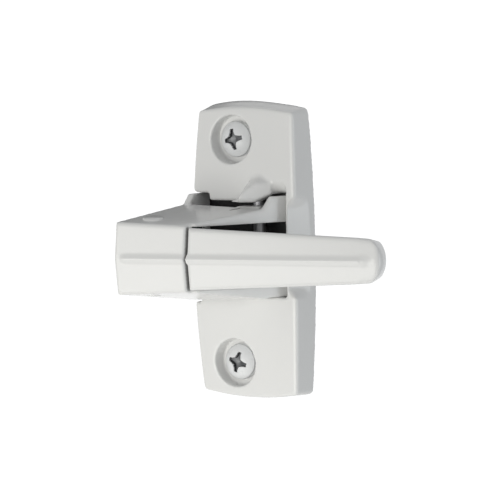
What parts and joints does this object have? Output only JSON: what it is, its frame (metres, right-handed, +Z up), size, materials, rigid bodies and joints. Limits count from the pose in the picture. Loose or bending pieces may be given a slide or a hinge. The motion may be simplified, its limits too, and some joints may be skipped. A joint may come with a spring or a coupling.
{
  "type": "storm door latch",
  "caption": "White painted inside latch for a storm door: a screw-on case, a spring-loaded flared latch arm with a ridged nose, and a long tapered push lever.",
  "frame": {"origin": "on the door face, midway between the two screws", "axes": "+Z up, +X to the right seen from the room, +Y into the door; the room side faces -Y"},
  "size_m": [0.0519, 0.0451, 0.0588],
  "materials": {
    "white_paint": "semi-gloss white powder coat on zinc castings",
    "painted_screw": "white painted head, bare cross recess",
    "pin_steel": "oiled dark steel",
    "spring_steel": "bright spring wire"
  },
  "bodies": {
    "case": {"base_case": "white_paint", "upper_screw": "painted_screw", "lower_screw": "painted_screw", "pivot_pin": "pin_steel", "return_spring": "spring_steel"},
    "arm": {"latch_arm": "white_paint", "lever_pin": "white_paint"},
    "lever": {"lever_handle": "white_paint"}
  },
  "joints": [
    {"name": "arm_swing", "type": "hinge", "parent": "case", "child": "arm", "pos_m": [0.00563, -0.0046, 0], "axis": [0, 0, 1], "range_deg": [0, 10], "stiffness_Nm_per_rad": 0.06, "springref_deg": -20.05, "deforming": ["return_spring"]},
    {"name": "lever_turn", "type": "hinge", "parent": "arm", "child": "lever", "pos_m": [-0.0072, -0.0226, 0], "axis": [0, 0, 1], "range_deg": [0, 4], "stiffness_Nm_per_rad": 0.03, "springref_deg": -17.19, "deforming": ["return_spring"]}
  ]
}
